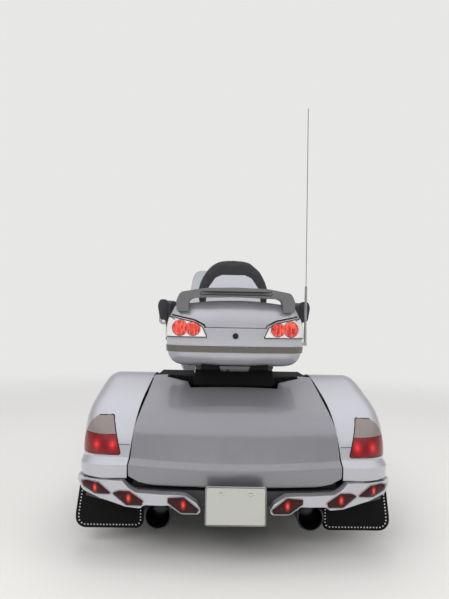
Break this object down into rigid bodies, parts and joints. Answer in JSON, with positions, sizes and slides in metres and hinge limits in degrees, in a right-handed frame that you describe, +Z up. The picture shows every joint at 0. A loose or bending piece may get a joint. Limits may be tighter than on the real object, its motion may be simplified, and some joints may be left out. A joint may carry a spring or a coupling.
{
  "type": "motor trike",
  "caption": "Three-wheeled touring motorcycle with a raked steering fork, wide rear body with wheel fenders, hinged boot lid, lidded top box, seats, fairing and screen.",
  "frame": {"origin": "on the ground under the middle of the vehicle's length and width", "axes": "+X to the rider's right, +Y forward, +Z up"},
  "size_m": [1.3898, 2.8406, 2.068],
  "materials": {
    "silver_paint": "metallic silver lacquer",
    "frame_black": "satin black",
    "bare_alloy": "cast alloy",
    "chrome": "polished chrome",
    "black_plastic": "moulded black plastic",
    "grey_plastic": "grey plastic",
    "vinyl": "black vinyl",
    "red_lens": "red lens",
    "clear_lens": "clear lens",
    "screen": "clear screen",
    "tyre_rubber": "tyre rubber",
    "black_rubber": "black rubber",
    "steel": "ground steel",
    "plate_white": "white plate, blank"
  },
  "bodies": {
    "chassis": {"main_frame": "frame_black", "rear_axle": "frame_black", "engine_block": "bare_alloy", "engine_heads": "bare_alloy", "exhaust": "chrome", "engine_guards": "chrome", "foot_boards": "bare_alloy", "fender_right": "silver_paint", "fender_left": "silver_paint", "tail_lamp_right": "red_lens", "tail_lamp_left": "red_lens", "boot_tub": "black_plastic", "rear_deck": "silver_paint", "bumper": "silver_paint", "bumper_lamps": "red_lens", "mud_flaps": "black_rubber", "plate_bracket": "frame_black", "number_plate": "plate_white", "trunk_box": "silver_paint", "trunk_trim": "chrome", "trunk_lamps": "red_lens", "trunk_light_block": "black_plastic", "passenger_seat": "vinyl", "rider_seat": "vinyl", "backrest_pad": "vinyl", "backrest_shell": "silver_paint", "armrests": "vinyl", "tank_cover": "silver_paint", "side_covers": "silver_paint", "fairing": "silver_paint", "windshield": "screen", "headlamps": "clear_lens", "mirrors": "silver_paint", "dash": "black_plastic", "antenna": "steel"},
    "steering": {"fork": "bare_alloy", "triple_clamps": "frame_black", "front_fender": "silver_paint", "front_calipers": "frame_black", "handlebar": "chrome", "handlebar_grips": "black_rubber"},
    "front_wheel": {"front_rim": "bare_alloy", "front_tyre": "tyre_rubber", "front_discs": "steel"},
    "rear_wheel_right": {"rear_rim_right": "bare_alloy", "rear_tyre_right": "tyre_rubber"},
    "rear_wheel_left": {"rear_rim_left": "bare_alloy", "rear_tyre_left": "tyre_rubber"},
    "boot_lid": {"boot_lid": "silver_paint"},
    "trunk_lid": {"trunk_lid": "silver_paint", "spoiler": "grey_plastic"}
  },
  "joints": [
    {"name": "steering_turn", "type": "hinge", "parent": "chassis", "child": "steering", "pos_m": [0, 1.198, 0], "axis": [0, -0.4886, 0.8725], "range_deg": [-35, 35]},
    {"name": "front_wheel_spin", "type": "hinge", "parent": "steering", "child": "front_wheel", "pos_m": [0, 1.089, 0.32], "axis": [1, 0, 0], "continuous": true},
    {"name": "rear_wheel_right_spin", "type": "hinge", "parent": "chassis", "child": "rear_wheel_right", "pos_m": [0.52, -0.651, 0.32], "axis": [1, 0, 0], "continuous": true},
    {"name": "rear_wheel_left_spin", "type": "hinge", "parent": "chassis", "child": "rear_wheel_left", "pos_m": [-0.52, -0.651, 0.32], "axis": [1, 0, 0], "continuous": true},
    {"name": "boot_lid_hinge", "type": "hinge", "parent": "chassis", "child": "boot_lid", "pos_m": [0, -0.815, 0.688], "axis": [-1, 0, 0], "range_deg": [0, 20]},
    {"name": "trunk_lid_hinge", "type": "hinge", "parent": "chassis", "child": "trunk_lid", "pos_m": [0, -0.708, 1.04], "axis": [-1, 0, 0], "range_deg": [0, 50]}
  ]
}
